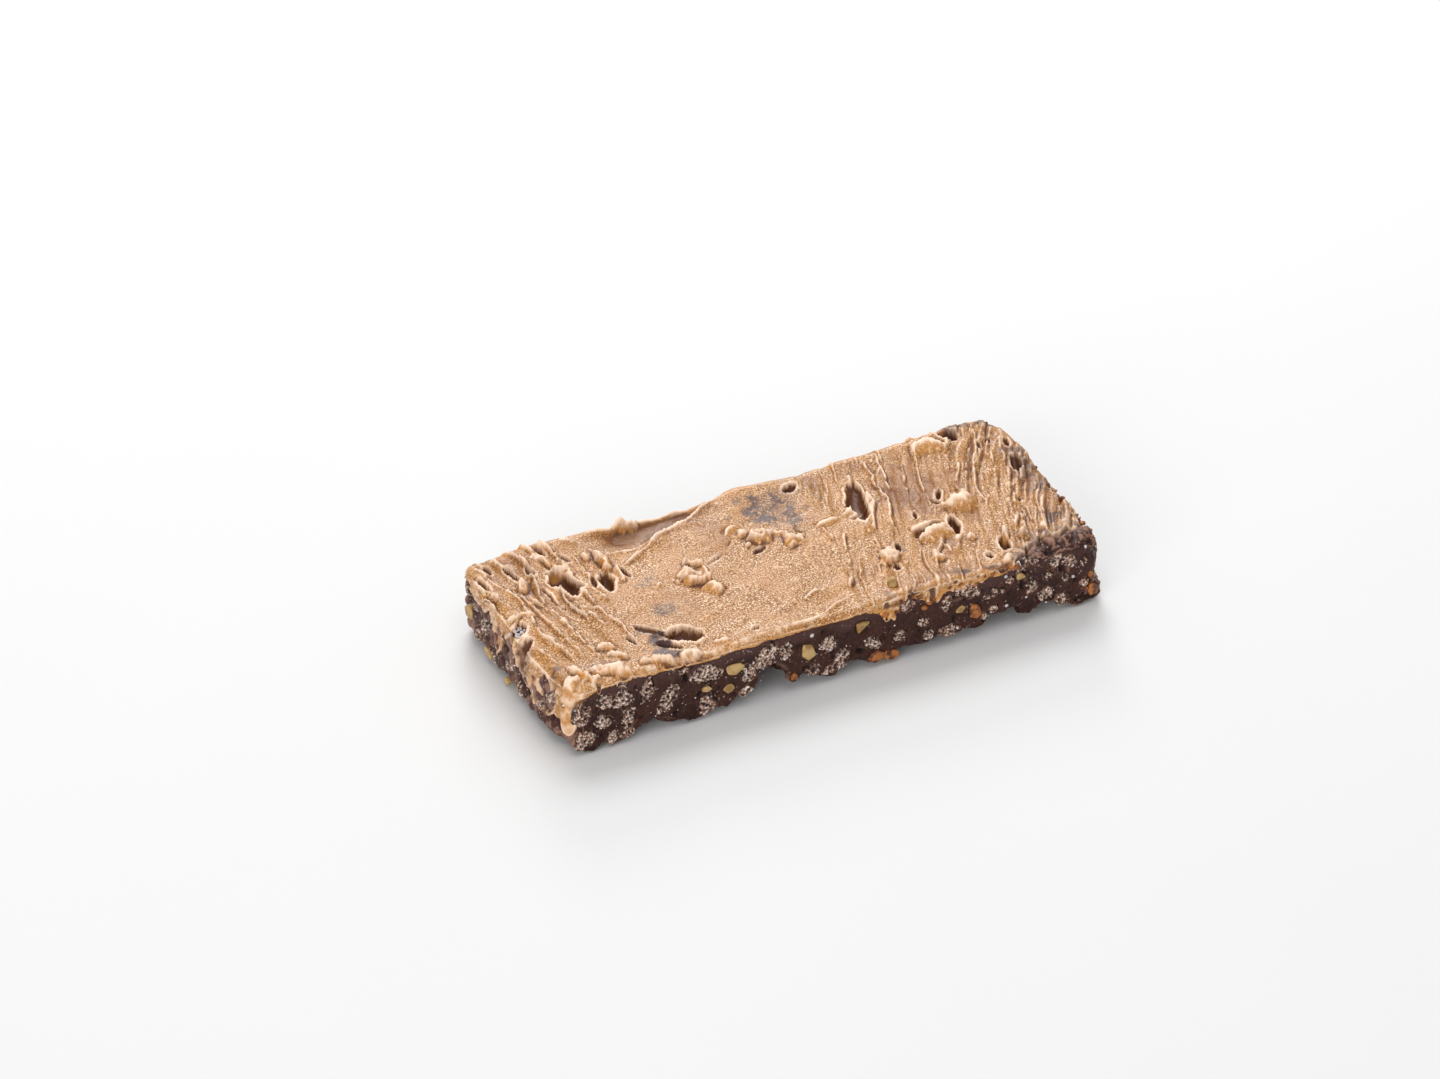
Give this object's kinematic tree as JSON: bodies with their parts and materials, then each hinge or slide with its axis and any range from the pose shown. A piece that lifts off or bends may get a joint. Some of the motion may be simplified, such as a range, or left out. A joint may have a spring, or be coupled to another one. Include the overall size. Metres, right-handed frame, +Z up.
{
  "type": "crispy rice bar",
  "caption": "Rectangular snack bar of puffed rice and chopped nuts set in dark chocolate, with a thin uneven spread of nut cream on top that runs down one end.",
  "frame": {"origin": "middle of the bounding box in plan, on the plane the bar rests on", "axes": "+X along the bar towards the end without hanging cream, +Y across it towards the longer back edge, +Z up"},
  "size_m": [0.104, 0.042, 0.0148],
  "materials": {
    "crisped_rice_in_chocolate": "dark chocolate with a faint bloom over puffed rice and chopped nuts, cut flush at the sides and lumpy underneath",
    "nut_cream": "satin, slightly grainy tan nut cream with knife strokes"
  },
  "bodies": {
    "root": {"crisped_rice_slab": "crisped_rice_in_chocolate", "nut_cream": "nut_cream"}
  },
  "joints": []
}
